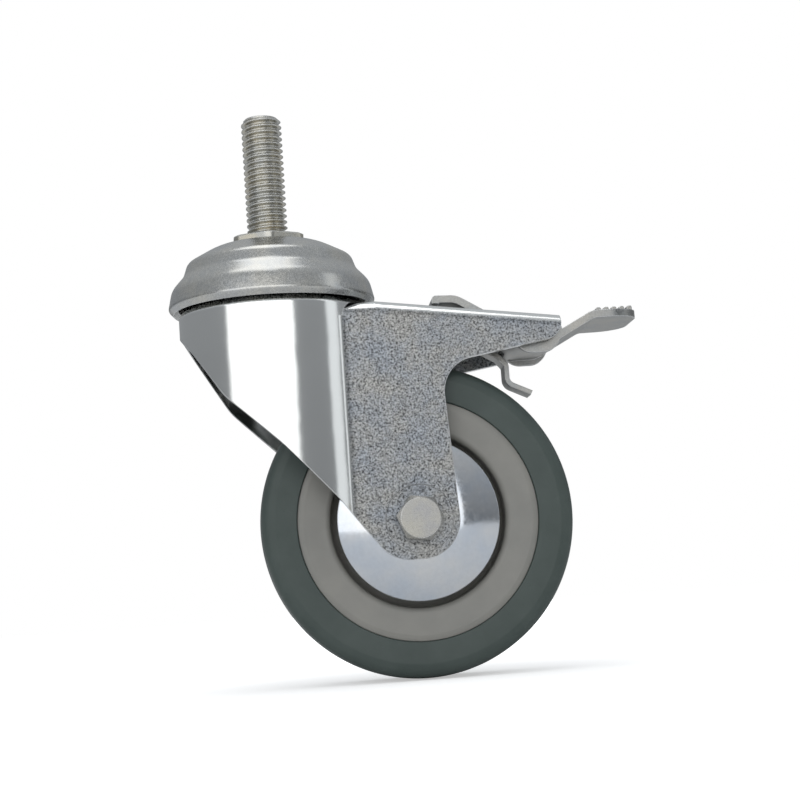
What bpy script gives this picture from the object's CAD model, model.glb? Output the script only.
"""Swivel castor with a threaded stem, a soft grey tyre and a total-lock pedal brake.

The looks are dressed over its CAD frame.
"""

from math import cos, pi, radians, sin, tan

import bmesh
import bpy
from mathutils import Matrix, Vector


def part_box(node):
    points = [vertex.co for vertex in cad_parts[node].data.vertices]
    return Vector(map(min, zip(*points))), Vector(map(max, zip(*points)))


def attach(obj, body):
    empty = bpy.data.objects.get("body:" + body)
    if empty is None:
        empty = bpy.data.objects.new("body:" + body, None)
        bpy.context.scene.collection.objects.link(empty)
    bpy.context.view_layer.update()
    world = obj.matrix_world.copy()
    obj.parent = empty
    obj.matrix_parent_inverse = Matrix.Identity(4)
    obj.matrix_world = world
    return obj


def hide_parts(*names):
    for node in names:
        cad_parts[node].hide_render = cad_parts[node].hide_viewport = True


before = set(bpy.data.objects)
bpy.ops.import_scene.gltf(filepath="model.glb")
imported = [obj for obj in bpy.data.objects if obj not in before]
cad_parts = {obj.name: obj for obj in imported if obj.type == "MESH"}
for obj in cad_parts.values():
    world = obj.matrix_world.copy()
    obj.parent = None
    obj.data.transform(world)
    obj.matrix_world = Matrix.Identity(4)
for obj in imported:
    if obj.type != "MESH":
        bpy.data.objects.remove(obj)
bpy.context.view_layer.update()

# ---- Studio ----
# A pale floor under the wheel and a white room. Three soft boxes give the plated sheet its
# broad reflections. The camera stands a little below the deck and looks slightly up, as for a catalogue.
MM = 0.001
scene = bpy.context.scene
scene.view_settings.view_transform = "Standard"

CAMERA_PLACE = Vector((1.9, -399.0, -88.96)) * MM
CAMERA_YAW, CAMERA_PITCH, CAMERA_ROLL = radians(4.0), radians(6.66), radians(-4.03)
CAMERA_LENS = 73.87

ahead = Vector(
    (
        sin(CAMERA_YAW) * cos(CAMERA_PITCH),
        cos(CAMERA_YAW) * cos(CAMERA_PITCH),
        sin(CAMERA_PITCH),
    )
)
level_right = Vector((cos(CAMERA_YAW), -sin(CAMERA_YAW), 0.0))
level_up = level_right.cross(ahead)
right = level_right * cos(CAMERA_ROLL) + level_up * sin(CAMERA_ROLL)
up = level_up * cos(CAMERA_ROLL) - level_right * sin(CAMERA_ROLL)
camera_data = bpy.data.cameras.new("camera")
camera_data.lens = CAMERA_LENS
camera_data.sensor_width = 36.0
camera_data.clip_start = 0.01
camera = bpy.data.objects.new("camera", camera_data)
camera.matrix_world = Matrix((right, up, -ahead)).transposed().to_4x4()
camera.location = CAMERA_PLACE
scene.collection.objects.link(camera)
scene.camera = camera


def soft_box(name, place, target, width, height, power, tone=(1.0, 1.0, 1.0)):
    """A rectangular area lamp, aimed at a point."""
    lamp = bpy.data.lights.new(name, "AREA")
    lamp.shape = "RECTANGLE"
    lamp.size = width
    lamp.size_y = height
    lamp.energy = power
    lamp.color = tone
    box = bpy.data.objects.new(name, lamp)
    box.location = place
    box.rotation_euler = (Vector(target) - Vector(place)).to_track_quat("-Z", "Y").to_euler()
    scene.collection.objects.link(box)
    return box


wheel_low, wheel_high = (Vector(corner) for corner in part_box("tyre"))
middle = (wheel_low + wheel_high) / 2
soft_box("front_box", (-0.26, -1.0, 0.10), middle, 1.75, 0.95, 6.4)
soft_box("right_box", (1.0, -0.25, 0.20), middle, 0.30, 0.9, 0.55, (0.95, 0.98, 1.0))
soft_box("top_box", (-0.05, -0.1, 0.95), middle, 0.7, 0.7, 1.9)

world = bpy.data.worlds.new("studio")
scene.world = world
world.use_nodes = True
nodes, links = world.node_tree.nodes, world.node_tree.links
nodes.clear()
output = nodes.new("ShaderNodeOutputWorld")
room = nodes.new("ShaderNodeBackground")
seen = nodes.new("ShaderNodeBackground")
choose = nodes.new("ShaderNodeMixShader")
path = nodes.new("ShaderNodeLightPath")
place = nodes.new("ShaderNodeTexCoord")
split = nodes.new("ShaderNodeSeparateXYZ")
tones = nodes.new("ShaderNodeValToRGB")
tones.color_ramp.elements[0].position = 0.35
tones.color_ramp.elements[0].color = (0.10, 0.105, 0.11, 1)
tones.color_ramp.elements[1].position = 0.9
tones.color_ramp.elements[1].color = (0.52, 0.54, 0.56, 1)
lift = nodes.new("ShaderNodeMath")
lift.operation = "MULTIPLY_ADD"
lift.inputs[1].default_value = 0.5
lift.inputs[2].default_value = 0.5
seen.inputs["Color"].default_value = (1, 1, 1, 1)
links.new(place.outputs["Generated"], split.inputs[0])
links.new(split.outputs["Z"], lift.inputs[0])
links.new(lift.outputs[0], tones.inputs[0])
links.new(tones.outputs[0], room.inputs["Color"])
links.new(path.outputs["Is Camera Ray"], choose.inputs[0])
links.new(room.outputs[0], choose.inputs[1])
links.new(seen.outputs[0], choose.inputs[2])
links.new(choose.outputs[0], output.inputs[0])

FLOOR_HALF, FLOOR_GAP = 1.5, 0.2
floor_mesh = bpy.data.meshes.new("floor")
floor_z = wheel_low.z - FLOOR_GAP * MM
floor_mesh.from_pydata(
    [(-FLOOR_HALF, -FLOOR_HALF, floor_z), (FLOOR_HALF, -FLOOR_HALF, floor_z),
     (FLOOR_HALF, FLOOR_HALF, floor_z), (-FLOOR_HALF, FLOOR_HALF, floor_z)],
    [],
    [(0, 1, 2, 3)],
)
floor = bpy.data.objects.new("floor", floor_mesh)
scene.collection.objects.link(floor)


def new_material(name, color, roughness, metallic=0.0):
    """A material with one Principled shader, and the handles to build on it."""
    made = bpy.data.materials.new(name)
    made.use_nodes = True
    tree = made.node_tree
    shader = tree.nodes["Principled BSDF"]
    shader.inputs["Base Color"].default_value = (*color, 1)
    shader.inputs["Roughness"].default_value = roughness
    shader.inputs["Metallic"].default_value = metallic
    return made, tree, shader


floor_paint, tree, shader = new_material("floor_paint", (0.92, 0.92, 0.92), 0.9)
# the eye sees it fade to white away from the wheel, and it sheds no light of its own
FADE_NEAR, FADE_FAR, GLOW_NEAR, GLOW_FAR = 0.03, 0.17, 0.45, 1.0
glow = tree.nodes.new("ShaderNodeEmission")
blend = tree.nodes.new("ShaderNodeAddShader")
spot = tree.nodes.new("ShaderNodeTexCoord")
away = tree.nodes.new("ShaderNodeVectorMath")
away.operation = "DISTANCE"
away.inputs[1].default_value = (middle.x, middle.y, floor_z)
fade = tree.nodes.new("ShaderNodeMapRange")
fade.interpolation_type = "SMOOTHSTEP"
fade.inputs["From Min"].default_value = FADE_NEAR
fade.inputs["From Max"].default_value = FADE_FAR
fade.inputs["To Min"].default_value = GLOW_NEAR
fade.inputs["To Max"].default_value = GLOW_FAR
eye = tree.nodes.new("ShaderNodeLightPath")
seen_glow = tree.nodes.new("ShaderNodeMath")
seen_glow.operation = "MULTIPLY"
tree.links.new(spot.outputs["Object"], away.inputs[0])
tree.links.new(away.outputs["Value"], fade.inputs["Value"])
tree.links.new(fade.outputs[0], seen_glow.inputs[0])
tree.links.new(eye.outputs["Is Camera Ray"], seen_glow.inputs[1])
tree.links.new(seen_glow.outputs[0], glow.inputs["Strength"])
tree.links.new(shader.outputs[0], blend.inputs[0])
tree.links.new(glow.outputs[0], blend.inputs[1])
tree.links.new(blend.outputs[0], tree.nodes["Material Output"].inputs[0])
floor_mesh.materials.append(floor_paint)

# ---- Zinc plating ----
# Every steel pressing and fastener is bright zinc plated: blue-white, with faint yellow and blue films,
# a fine speckled grain from the pickled sheet, and brighter bare metal where edges were cut or rubbed.


def shared_group(name, inputs, outputs):
    """An empty shader node group with the named value inputs and outputs."""
    group = bpy.data.node_groups.new(name, "ShaderNodeTree")
    for label, value in inputs:
        socket = group.interface.new_socket(label, in_out="INPUT", socket_type="NodeSocketFloat")
        socket.default_value = value
    for label, kind in outputs:
        group.interface.new_socket(label, in_out="OUTPUT", socket_type=kind)
    start = group.nodes.new("NodeGroupInput")
    end = group.nodes.new("NodeGroupOutput")
    return group, start, end


def noise(tree, scale, detail=3.0, roughness=0.55):
    """A noise texture on Object coordinates."""
    where = tree.nodes.new("ShaderNodeTexCoord")
    texture = tree.nodes.new("ShaderNodeTexNoise")
    texture.inputs["Scale"].default_value = scale
    texture.inputs["Detail"].default_value = detail
    texture.inputs["Roughness"].default_value = roughness
    tree.links.new(where.outputs["Object"], texture.inputs["Vector"])
    return texture


grain, start, end = shared_group(
    "speckled_grain",
    [("Scale", 1.0)],
    [("Grain", "NodeSocketFloat"), ("Cloud", "NodeSocketFloat")],
)
GRAIN_SCALE, CLOUD_SCALE = 2200.0, 140.0
fine = noise(grain, GRAIN_SCALE, 4.0, 0.65)
cloud = noise(grain, CLOUD_SCALE, 3.0, 0.6)
for texture, base in ((fine, GRAIN_SCALE), (cloud, CLOUD_SCALE)):
    sized = grain.nodes.new("ShaderNodeMath")
    sized.operation = "MULTIPLY"
    sized.inputs[1].default_value = base
    grain.links.new(start.outputs["Scale"], sized.inputs[0])
    grain.links.new(sized.outputs[0], texture.inputs["Scale"])
spread = grain.nodes.new("ShaderNodeMapRange")
spread.inputs["From Min"].default_value = 0.34
spread.inputs["From Max"].default_value = 0.66
grain.links.new(fine.outputs["Fac"], spread.inputs["Value"])
grain.links.new(spread.outputs[0], end.inputs["Grain"])
grain.links.new(cloud.outputs["Fac"], end.inputs["Cloud"])

wear, start, end = shared_group(
    "edge_wear",
    [("Width", 1.0)],
    [("Edge", "NodeSocketFloat"), ("Soft Normal", "NodeSocketVector")],
)
EDGE_ROUNDING = 0.35
shape = wear.nodes.new("ShaderNodeNewGeometry")
soft = wear.nodes.new("ShaderNodeBevel")
soft.samples = 4
reach = wear.nodes.new("ShaderNodeMath")
reach.operation = "MULTIPLY"
reach.inputs[1].default_value = EDGE_ROUNDING * MM
wear.links.new(start.outputs["Width"], reach.inputs[0])
wear.links.new(reach.outputs[0], soft.inputs["Radius"])
turn = wear.nodes.new("ShaderNodeVectorMath")
turn.operation = "DOT_PRODUCT"
edge = wear.nodes.new("ShaderNodeMapRange")
edge.inputs["From Min"].default_value = 0.985
edge.inputs["From Max"].default_value = 0.90
wear.links.new(soft.outputs[0], turn.inputs[0])
wear.links.new(shape.outputs["Normal"], turn.inputs[1])
wear.links.new(turn.outputs["Value"], edge.inputs["Value"])
wear.links.new(edge.outputs[0], end.inputs["Edge"])
wear.links.new(soft.outputs[0], end.inputs["Soft Normal"])


def plated(name, cool, warm, rough_low, rough_high, speckle, bump_depth, grain_scale=1.0):
    """Zinc-plated steel: two film tones, speckled grain, worn edges."""
    made, tree, shader = new_material(name, cool, rough_low, 1.0)
    spots = tree.nodes.new("ShaderNodeGroup")
    spots.node_tree = grain
    spots.inputs["Scale"].default_value = grain_scale
    rubbed = tree.nodes.new("ShaderNodeGroup")
    rubbed.node_tree = wear
    film = tree.nodes.new("ShaderNodeValToRGB")
    film.color_ramp.elements[0].position = 0.36
    film.color_ramp.elements[0].color = (*cool, 1)
    film.color_ramp.elements[1].position = 0.64
    film.color_ramp.elements[1].color = (*warm, 1)
    dark = tree.nodes.new("ShaderNodeMix")
    dark.data_type = "RGBA"
    dark.blend_type = "MULTIPLY"
    dark.inputs["Factor"].default_value = speckle
    bright = tree.nodes.new("ShaderNodeMix")
    bright.data_type = "RGBA"
    bright.inputs["B"].default_value = (0.86, 0.87, 0.88, 1)
    rough = tree.nodes.new("ShaderNodeMapRange")
    rough.inputs["To Min"].default_value = rough_low
    rough.inputs["To Max"].default_value = rough_high
    bump = tree.nodes.new("ShaderNodeBump")
    bump.inputs["Strength"].default_value = 0.55
    bump.inputs["Distance"].default_value = bump_depth * MM
    link = tree.links.new
    link(spots.outputs["Cloud"], film.inputs[0])
    link(film.outputs[0], dark.inputs["A"])
    link(spots.outputs["Grain"], dark.inputs["B"])
    link(dark.outputs["Result"], bright.inputs["A"])
    link(rubbed.outputs["Edge"], bright.inputs["Factor"])
    link(bright.outputs["Result"], shader.inputs["Base Color"])
    link(spots.outputs["Grain"], rough.inputs["Value"])
    link(rough.outputs[0], shader.inputs["Roughness"])
    link(spots.outputs["Grain"], bump.inputs["Height"])
    link(rubbed.outputs["Soft Normal"], bump.inputs["Normal"])
    link(bump.outputs[0], shader.inputs["Normal"])
    return made


cup_zinc = plated("cup_zinc", (0.54, 0.55, 0.55), (0.64, 0.63, 0.59), 0.20, 0.32, 0.22, 0.006)
thread_zinc = plated("thread_zinc", (0.55, 0.55, 0.52), (0.64, 0.60, 0.50), 0.22, 0.36, 0.25, 0.006)
pedal_zinc = plated("pedal_zinc", (0.36, 0.37, 0.37), (0.44, 0.43, 0.40), 0.30, 0.46, 0.35, 0.010)


def wear_finish(obj, finish):
    """Give a piece one finish, in place of what it had."""
    obj.data.materials.clear()
    obj.data.materials.append(finish)


# ---- Threaded stem ----
# One forging: an M10 x 1.5 rolled thread, a thin hexagonal collar and the king pin below it, which is
# spread over the lock ring. The thread's flanks follow the helix, with flat crests and a chamfered end.
STEM_R, THREAD_PITCH, THREAD_DEPTH, STEM_END = 5.0, 1.5, 0.86, 30.0
STEM_CHAMFER, THREAD_START = 1.0, 1.0
COLLAR_AF, COLLAR_HEIGHT, COLLAR_TURN, COLLAR_AROUND = 17.0, 1.8, 33.0, 96
RING_LOW, RING_HIGH = (corner.z / MM for corner in map(Vector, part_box("lock_ring")))
PIN_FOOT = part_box("threaded_stem")[0][2] / MM


def thread_radius(z, angle):
    """Radius of the threaded stem at a height and an angle round it."""
    phase = (z / THREAD_PITCH - angle / (2 * pi)) % 1.0
    wave = min(max((abs(phase - 0.5) * 2.0 - 0.12) / 0.72, 0.0), 1.0)
    depth = THREAD_DEPTH * wave
    fade = min(max((z - THREAD_START * 0.3) / THREAD_START, 0.0), 1.0)
    chamfer = max(0.0, z - (STEM_END - STEM_CHAMFER))
    return min(STEM_R - depth * fade, STEM_R - chamfer)


def tube_mesh(name, rings, closed_ends=True):
    """A mesh through rings of points, one ring above the other, in millimetres."""
    mesh = bmesh.new()
    rows = [[mesh.verts.new(Vector(point) * MM) for point in ring] for ring in rings]
    count = len(rings[0])
    for low, high in zip(rows, rows[1:]):
        for i in range(count):
            j = (i + 1) % count
            mesh.faces.new((low[i], low[j], high[j], high[i]))
    if closed_ends:
        mesh.faces.new(rows[0][::-1])
        mesh.faces.new(rows[-1])
    bmesh.ops.recalc_face_normals(mesh, faces=mesh.faces)
    made = bpy.data.meshes.new(name)
    mesh.to_mesh(made)
    mesh.free()
    obj = bpy.data.objects.new(name, made)
    scene.collection.objects.link(obj)
    return obj


def smooth_by_angle(obj, degrees):
    """Smooth shading, with creases where faces meet at more than the angle."""
    mesh = obj.data
    mesh.shade_smooth()
    mesh.set_sharp_from_angle(angle=radians(degrees))


def circle_ring(radius, z, count):
    """A level ring of points; radius may be a number or a function of z and the angle."""
    ring = []
    for i in range(count):
        angle = 2 * pi * i / count
        r = radius(z, angle) if callable(radius) else radius
        ring.append((r * cos(angle), r * sin(angle), z))
    return ring


THREAD_AROUND, ROWS_PER_TURN = 72, 14
row_count = int((STEM_END - 0.05) / THREAD_PITCH * ROWS_PER_TURN)
stem_rings = [circle_ring(thread_radius, 0.05 + i * THREAD_PITCH / ROWS_PER_TURN, THREAD_AROUND)
              for i in range(row_count + 1)]
stem_rings.append(circle_ring(STEM_R - STEM_CHAMFER, STEM_END, THREAD_AROUND))
stem_rings.append(circle_ring(STEM_R - STEM_CHAMFER - 0.4, STEM_END, THREAD_AROUND))
stem_thread = tube_mesh("stem_thread", [circle_ring(STEM_R - 0.9, -0.5, THREAD_AROUND)] + stem_rings)
smooth_by_angle(stem_thread, 40)
wear_finish(stem_thread, thread_zinc)


def hexagon_ring(inset, z):
    """The collar's outline: a hexagon with its corners cut round by the turned face."""
    ring = []
    across = COLLAR_AF / 2 - inset
    corner_limit = COLLAR_AF / 2 / cos(pi / 6) - 0.35 - inset * 2
    for i in range(COLLAR_AROUND):
        angle = 2 * pi * i / COLLAR_AROUND
        local = (angle - radians(COLLAR_TURN)) % (pi / 3) - pi / 6
        # the flats face angles of 0, 60, 120 ... from the turn
        r = min(across / cos(local), corner_limit)
        ring.append((r * cos(angle), r * sin(angle), z))
    return ring


stem_collar = tube_mesh(
    "stem_collar",
    [hexagon_ring(0.0, -COLLAR_HEIGHT), hexagon_ring(0.0, -0.35), hexagon_ring(0.25, -0.08),
     hexagon_ring(0.6, 0.0)],
)
smooth_by_angle(stem_collar, 25)
wear_finish(stem_collar, thread_zinc)

KING_PIN = [(5.0, -COLLAR_HEIGHT), (5.0, RING_HIGH), (4.0, RING_HIGH), (4.0, RING_LOW), (6.2, RING_LOW),
            (6.1, RING_LOW - 0.4), (5.4, PIN_FOOT + 0.3), (4.4, PIN_FOOT)]
king_pin = tube_mesh("king_pin", [circle_ring(r, z, 64) for r, z in reversed(KING_PIN)])
smooth_by_angle(king_pin, 40)
wear_finish(king_pin, thread_zinc)

for piece in (stem_thread, stem_collar, king_pin):
    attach(piece, "stem")
    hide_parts("threaded_stem")

# ---- Top cup ----
# A dome drawn from 1.8 mm sheet over the ball race. It has a broad rounded crown, a crease, a slightly
# hollow skirt and a small lip that curls in over the fork's head.
CUP_SHEET = 1.8
CUP_LINE = [(5.02, -1.8), (12.2, -1.8), (20.2, -6.2), (21.3, -9.4), (24.3, -12.7), (25.3, -17.2),
            (24.1, -18.5)]
CUP_BENDS = [16.0, 2.4, 3.6, 5.0, 1.0]


def rounded(points, bends, step=8.0):
    """A line through points whose corners are arcs of the given radii, one point each few degrees."""
    line = [Vector(points[0])]
    for before, corner, after, bend in zip(points, points[1:], points[2:], bends):
        before, corner, after = Vector(before), Vector(corner), Vector(after)
        back, on = (before - corner).normalized(), (after - corner).normalized()
        half = back.angle(on) / 2
        reach = bend / max(tan(half), 1e-6)
        centre = corner + (back + on).normalized() * bend / sin(half)
        start, finish = corner + back * reach, corner + on * reach
        sweep = pi - 2 * half
        count = max(2, int(sweep / radians(step)) + 1)
        for i in range(count + 1):
            mix = start.lerp(finish, i / count) - centre
            line.append(centre + mix.normalized() * bend)
    line.append(Vector(points[-1]))
    return line


def thick_line(line, thickness):
    """A closed section: the line, and the same line set over to its right by the thickness."""
    other = []
    for i, point in enumerate(line):
        along = line[min(i + 1, len(line) - 1)] - line[max(i - 1, 0)]
        aside = Vector((along.y, -along.x)).normalized()
        other.append(point + aside * thickness)
    return list(line) + other[::-1]


def lathe(name, section, axis="Z", centre=(0.0, 0.0, 0.0), count=160):
    """Turn a closed section of (radius, height) round the swivel axis or the axle, in millimetres."""
    rings = []
    for radius, height in section:
        ring = []
        for i in range(count):
            angle = 2 * pi * i / count
            if axis == "Z":
                ring.append((radius * cos(angle), radius * sin(angle), centre[2] + height))
            else:
                ring.append((centre[0] + radius * cos(angle), height, centre[2] + radius * sin(angle)))
        rings.append(ring)
    rings.append(rings[0])
    obj = tube_mesh(name, rings, closed_ends=False)
    mesh = bmesh.new()
    mesh.from_mesh(obj.data)
    bmesh.ops.remove_doubles(mesh, verts=mesh.verts, dist=0.001 * MM)
    bmesh.ops.recalc_face_normals(mesh, faces=mesh.faces)
    mesh.to_mesh(obj.data)
    mesh.free()
    return obj


cup = lathe("cup_dome", thick_line(rounded(CUP_LINE, CUP_BENDS, 4.0), CUP_SHEET))
smooth_by_angle(cup, 35)
wear_finish(cup, cup_zinc)
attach(cup, "stem")
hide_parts("top_cup")

# ---- Fork ----
# One pressing in 2 mm sheet: a round head over the ball races, a deck that falls to the pedal, two flat
# legs and two short wings. The CAD solid is its true form, so it only gets its finish: speckled grain
# on the flat legs and wings, and bright stretched plating on the round head and the deck.
LEG_START, ZONE_BLEND = 14.5, 1.6
fork_finish = plated("fork_finish", (0.43, 0.46, 0.50), (0.505, 0.505, 0.49), 0.24, 0.50, 0.95, 0.03)
tree = fork_finish.node_tree
shader = tree.nodes["Principled BSDF"]
link = tree.links.new
where = tree.nodes.new("ShaderNodeTexCoord")
along = tree.nodes.new("ShaderNodeSeparateXYZ")
facing = tree.nodes.new("ShaderNodeNewGeometry")
sideways = tree.nodes.new("ShaderNodeSeparateXYZ")
level = tree.nodes.new("ShaderNodeMath")
level.operation = "ABSOLUTE"
flat = tree.nodes.new("ShaderNodeMapRange")
flat.interpolation_type = "SMOOTHSTEP"
flat.inputs["From Min"].default_value = 0.86
flat.inputs["From Max"].default_value = 0.97
behind = tree.nodes.new("ShaderNodeMapRange")
behind.interpolation_type = "SMOOTHSTEP"
behind.inputs["From Min"].default_value = (LEG_START - ZONE_BLEND) * MM
behind.inputs["From Max"].default_value = (LEG_START + ZONE_BLEND) * MM
rolled = tree.nodes.new("ShaderNodeMath")
rolled.operation = "MULTIPLY"
stretched = tree.nodes.new("ShaderNodeMath")
stretched.operation = "SUBTRACT"
stretched.inputs[0].default_value = 1.0
link(where.outputs["Object"], along.inputs[0])
link(facing.outputs["Normal"], sideways.inputs[0])
link(sideways.outputs["Y"], level.inputs[0])
link(level.outputs[0], flat.inputs["Value"])
link(along.outputs["X"], behind.inputs["Value"])
link(flat.outputs[0], rolled.inputs[0])
link(behind.outputs[0], rolled.inputs[1])
link(rolled.outputs[0], stretched.inputs[1])
for socket, glossy in (("Base Color", (0.80, 0.81, 0.80, 1)), ("Roughness", (0.14, 0.14, 0.14, 1))):
    plain = shader.inputs[socket].links[0].from_socket
    zone = tree.nodes.new("ShaderNodeMix")
    zone.data_type = "RGBA"
    zone.inputs["B"].default_value = glossy
    link(stretched.outputs[0], zone.inputs["Factor"])
    link(plain, zone.inputs["A"])
    link(zone.outputs["Result"], shader.inputs[socket])
bump = next(node for node in tree.nodes if node.bl_idname == "ShaderNodeBump")
calm = tree.nodes.new("ShaderNodeMapRange")
calm.inputs["To Min"].default_value = 0.6
calm.inputs["To Max"].default_value = 0.06
link(stretched.outputs[0], calm.inputs["Value"])
link(calm.outputs[0], bump.inputs["Strength"])
ripple = noise(tree, 75.0, 2.0)
wavy = tree.nodes.new("ShaderNodeBump")
wavy.inputs["Strength"].default_value = 0.5
wavy.inputs["Distance"].default_value = 0.25 * MM
link(ripple.outputs["Fac"], wavy.inputs["Height"])
link(bump.outputs[0], wavy.inputs["Normal"])
link(wavy.outputs[0], shader.inputs["Normal"])
wear_finish(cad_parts["fork"], fork_finish)

# ---- Brake pedal and brake lever ----
# Two more pressings. The pedal's tread has rolled grip ribs, and its front tab comes up through the deck.
wear_finish(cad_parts["brake_pedal"], pedal_zinc)
wear_finish(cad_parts["brake_lever"], pedal_zinc)
for name in ("pedal_pin", "lever_pin", "axle_sleeve", "lock_ring"):
    wear_finish(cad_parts[name], thread_zinc)

# ---- Axle bolt and nut ----
# A plain hexagon-headed M6 bolt, and a lock nut with a nylon insert on the far side. Both are the CAD
# solids, a little duller than the stem.
bolt_zinc = plated("bolt_zinc", (0.35, 0.35, 0.35), (0.41, 0.40, 0.36), 0.22, 0.36, 0.25, 0.006)
for name in ("axle_bolt", "axle_nut"):
    wear_finish(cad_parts[name], bolt_zinc)
insert_nylon, tree, shader = new_material("insert_nylon", (0.62, 0.62, 0.58), 0.45)
veil = noise(tree, 900.0)
veil_bump = tree.nodes.new("ShaderNodeBump")
veil_bump.inputs["Strength"].default_value = 0.1
veil_bump.inputs["Distance"].default_value = 0.01 * MM
tree.links.new(veil.outputs["Fac"], veil_bump.inputs["Height"])
tree.links.new(veil_bump.outputs[0], shader.inputs["Normal"])
wear_finish(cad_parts["nut_insert"], insert_nylon)

# ---- Bearings ----
# Hardened balls and rings, ground bright. The swivel's two rows of balls run in races pressed in the
# crown, and each wheel bearing has one row between its rings.
ground_steel = plated("ground_steel", (0.66, 0.67, 0.69), (0.70, 0.70, 0.71), 0.10, 0.18, 0.05, 0.002, 0.6)
for name in ("bearing_inner_ring_near", "bearing_inner_ring_far",
             "bearing_outer_ring_near", "bearing_outer_ring_far"):
    wear_finish(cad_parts[name], ground_steel)

BALL_SUBDIVISIONS = 4
ball_row = bpy.data.node_groups.new("ball_row", "GeometryNodeTree")
ball_row.is_modifier = True
for socket, kind in (("Count", "NodeSocketInt"), ("Row Radius", "NodeSocketFloat"),
                     ("Ball Radius", "NodeSocketFloat"), ("Centre", "NodeSocketVector"),
                     ("Turn", "NodeSocketVector"), ("Finish", "NodeSocketMaterial")):
    ball_row.interface.new_socket(socket, in_out="INPUT", socket_type=kind)
ball_row.interface.new_socket("Balls", in_out="OUTPUT", socket_type="NodeSocketGeometry")
sizes = ball_row.nodes.new("NodeGroupInput")
track = ball_row.nodes.new("GeometryNodeMeshCircle")
ball = ball_row.nodes.new("GeometryNodeMeshIcoSphere")
ball.inputs["Subdivisions"].default_value = BALL_SUBDIVISIONS
seats = ball_row.nodes.new("GeometryNodeInstanceOnPoints")
stand = ball_row.nodes.new("GeometryNodeTransform")
real = ball_row.nodes.new("GeometryNodeRealizeInstances")
polish = ball_row.nodes.new("GeometryNodeSetShadeSmooth")
paint = ball_row.nodes.new("GeometryNodeSetMaterial")
row = ball_row.nodes.new("NodeGroupOutput")
for source, target in (
    (sizes.outputs["Count"], track.inputs["Vertices"]),
    (sizes.outputs["Row Radius"], track.inputs["Radius"]),
    (sizes.outputs["Ball Radius"], ball.inputs["Radius"]),
    (track.outputs["Mesh"], seats.inputs["Points"]),
    (ball.outputs["Mesh"], seats.inputs["Instance"]),
    (seats.outputs["Instances"], stand.inputs["Geometry"]),
    (sizes.outputs["Centre"], stand.inputs["Translation"]),
    (sizes.outputs["Turn"], stand.inputs["Rotation"]),
    (stand.outputs["Geometry"], real.inputs["Geometry"]),
    (real.outputs["Geometry"], polish.inputs["Geometry"]),
    (polish.outputs["Geometry"], paint.inputs["Geometry"]),
    (sizes.outputs["Finish"], paint.inputs["Material"]),
    (paint.outputs["Geometry"], row.inputs["Balls"]),
):
    ball_row.links.new(source, target)

# a swivel row turns about Z, a bearing row about Y
for name, count, body, turn in (("upper_balls", 16, "fork", 0.0), ("lower_balls", 11, "fork", 0.0),
                                ("bearing_balls_near", 7, "wheel", pi / 2),
                                ("bearing_balls_far", 7, "wheel", pi / 2)):
    low, high = (Vector(corner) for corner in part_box(name))
    level = (low + high) / 2
    swivel_row = turn == 0.0
    ball_r = (high.z - low.z) / 2 if swivel_row else (high.y - low.y) / 2
    centre = Vector((0, 0, level.z)) if swivel_row else Vector((middle.x, level.y, middle.z))
    made = bpy.data.meshes.new(f"{name}_row")
    piece = bpy.data.objects.new(f"{name}_row", made)
    scene.collection.objects.link(piece)
    rows = piece.modifiers.new("ball_row", "NODES")
    rows.node_group = ball_row
    wanted = {"Count": count, "Row Radius": high.x - centre.x - ball_r, "Ball Radius": ball_r,
              "Centre": centre, "Turn": (turn, 0.0, 0.0), "Finish": ground_steel}
    for item in ball_row.interface.items_tree:
        if item.in_out == "INPUT":
            rows[item.identifier] = wanted[item.name]
    settled = piece.evaluated_get(bpy.context.evaluated_depsgraph_get())
    plain = bpy.data.meshes.new_from_object(settled)
    piece.modifiers.remove(rows)
    piece.data = plain
    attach(piece, body)
    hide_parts(name)

# ---- Thread guards ----
# Thin dished discs, bright from the press, clamped beside the wheel to keep thread out of the bearings.
AXLE = tuple(value / MM for value in middle)
GUARD_R, GUARD_SEAT_R, GUARD_SEAT_Y, GUARD_DROP, GUARD_SHEET = 18.9, 8.0, 14.0, 2.8, 0.8
GUARD_BORE, GUARD_BULGE, DOME_STEPS = 4.02, 0.5, 16
guard_bright = plated("guard_bright", (0.60, 0.65, 0.72), (0.72, 0.73, 0.74), 0.07, 0.14, 0.06, 0.002, 0.5)
for name, side in (("near", -1), ("far", 1)):
    dome = [Vector((GUARD_BORE, GUARD_SEAT_Y)), Vector((GUARD_SEAT_R - 0.5, GUARD_SEAT_Y))]
    for i in range(DOME_STEPS + 1):
        share = i / DOME_STEPS
        reach = GUARD_SEAT_R + (GUARD_R - GUARD_SEAT_R) * share
        bulge = GUARD_BULGE * 4 * share * (1 - share)
        dome.append(Vector((reach, GUARD_SEAT_Y - GUARD_DROP * share + bulge)))
    dome = [Vector((point.x, point.y * side)) for point in dome]
    guard = lathe(f"guard_disc_{name}", thick_line(dome, GUARD_SHEET * -side), "Y", AXLE, 144)
    smooth_by_angle(guard, 35)
    wear_finish(guard, guard_bright)
    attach(guard, "fork")
    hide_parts(f"thread_guard_{name}")

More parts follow.
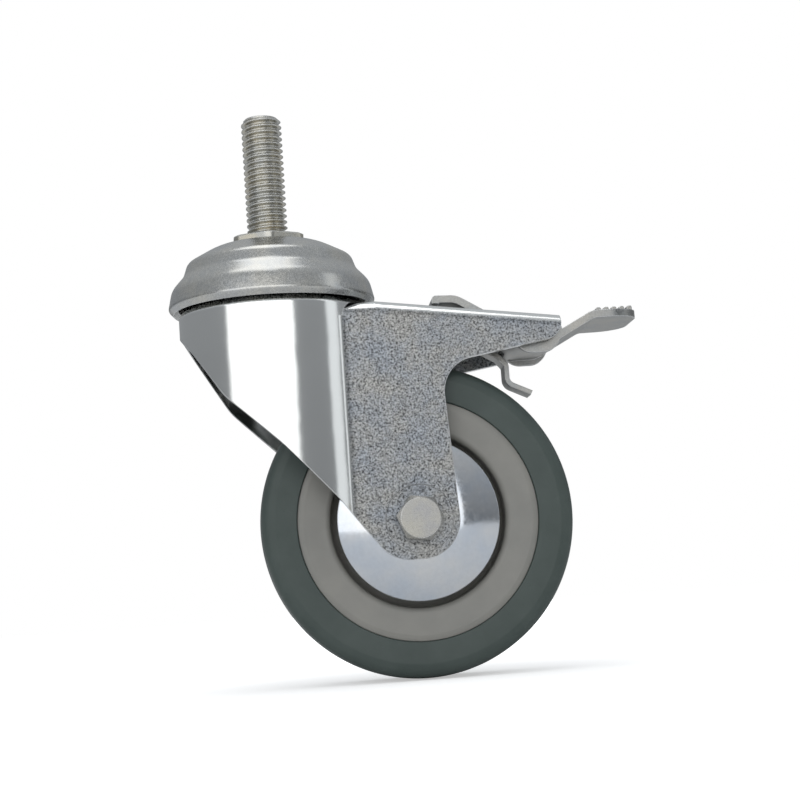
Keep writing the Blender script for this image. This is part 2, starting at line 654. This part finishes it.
# ---- Wheel core ----
# Moulded warm grey polypropylene: a dished face, a round-edged recess for the guard, a thin web and a hub.
core_plastic, tree, shader = new_material("core_plastic", (0.25, 0.245, 0.225), 0.48)
spots = tree.nodes.new("ShaderNodeGroup")
spots.node_tree = grain
spots.inputs["Scale"].default_value = 0.7
shade = tree.nodes.new("ShaderNodeValToRGB")
shade.color_ramp.elements[0].position = 0.3
shade.color_ramp.elements[0].color = (0.235, 0.232, 0.215, 1)
shade.color_ramp.elements[1].position = 0.7
shade.color_ramp.elements[1].color = (0.275, 0.268, 0.245, 1)
dimple = tree.nodes.new("ShaderNodeBump")
dimple.inputs["Strength"].default_value = 0.25
dimple.inputs["Distance"].default_value = 0.01 * MM
tree.links.new(spots.outputs["Cloud"], shade.inputs[0])
tree.links.new(shade.outputs[0], shader.inputs["Base Color"])
tree.links.new(spots.outputs["Grain"], dimple.inputs["Height"])
tree.links.new(dimple.outputs[0], shader.inputs["Normal"])
CORE_HALF = [(9.08, 0.0), (9.08, 4.8), (11.0, 4.8), (11.0, 11.0), (13.5, 11.0), (13.5, 4.5), (20.8, 4.5),
             (20.8, 10.9), (27.2, 11.5), (28.6, 11.2), (28.6, 4.5), (30.4, 3.7), (30.4, 0.0)]
CORE_BENDS = [0.05, 0.05, 0.05, 0.5, 1.5, 1.5, 1.6, 1.0, 0.2, 0.3, 0.3]
half = rounded(CORE_HALF, CORE_BENDS, 10.0)[1:-1]
core = lathe("core_moulding", half + [Vector((p.x, -p.y)) for p in reversed(half)], "Y", AXLE, 176)
smooth_by_angle(core, 35)
wear_finish(core, core_plastic)
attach(core, "wheel")
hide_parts("wheel_core")

# ---- Tyre ----
# Soft grey-green rubber moulded over the core, with rounded shoulders, a slightly crowned tread, fine
# pits and a satin skin.
tyre_rubber, tree, shader = new_material("tyre_rubber", (0.072, 0.092, 0.085), 0.5)
spots = tree.nodes.new("ShaderNodeGroup")
spots.node_tree = grain
spots.inputs["Scale"].default_value = 0.6
shade = tree.nodes.new("ShaderNodeValToRGB")
shade.color_ramp.elements[0].position = 0.3
shade.color_ramp.elements[0].color = (0.046, 0.064, 0.058, 1)
shade.color_ramp.elements[1].position = 0.7
shade.color_ramp.elements[1].color = (0.062, 0.082, 0.075, 1)
pits = noise(tree, 1500.0, 1.0)
pit_mask = tree.nodes.new("ShaderNodeMapRange")
pit_mask.inputs["From Min"].default_value = 0.68
pit_mask.inputs["From Max"].default_value = 0.74
pit_mask.inputs["To Min"].default_value = 1.0
pit_mask.inputs["To Max"].default_value = 0.0
skin = tree.nodes.new("ShaderNodeMath")
skin.operation = "MULTIPLY_ADD"
skin.inputs[1].default_value = 0.25
dimple = tree.nodes.new("ShaderNodeBump")
dimple.inputs["Strength"].default_value = 0.5
dimple.inputs["Distance"].default_value = 0.03 * MM
tree.links.new(spots.outputs["Cloud"], shade.inputs[0])
tree.links.new(shade.outputs[0], shader.inputs["Base Color"])
tree.links.new(pits.outputs["Fac"], pit_mask.inputs["Value"])
tree.links.new(spots.outputs["Grain"], skin.inputs[0])
tree.links.new(pit_mask.outputs[0], skin.inputs[2])
tree.links.new(skin.outputs[0], dimple.inputs["Height"])
tree.links.new(dimple.outputs[0], shader.inputs["Normal"])
TYRE_HALF = [(28.65, 0.0), (28.65, 11.75), (33.9, 12.0), (37.0, 11.2), (37.5, 0.0)]
tyre_half = rounded(TYRE_HALF, [0.35, 1.5, 2.7], 8.0)[1:-1]
tyre_line = tyre_half + [Vector((37.42, 6.0)), Vector((37.5, 0.0)), Vector((37.42, -6.0))]
tyre_line += [Vector((p.x, -p.y)) for p in reversed(tyre_half)]
tyre = lathe("tyre_moulding", tyre_line, "Y", AXLE, 192)
smooth_by_angle(tyre, 35)
wear_finish(tyre, tyre_rubber)
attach(tyre, "wheel")
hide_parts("tyre")
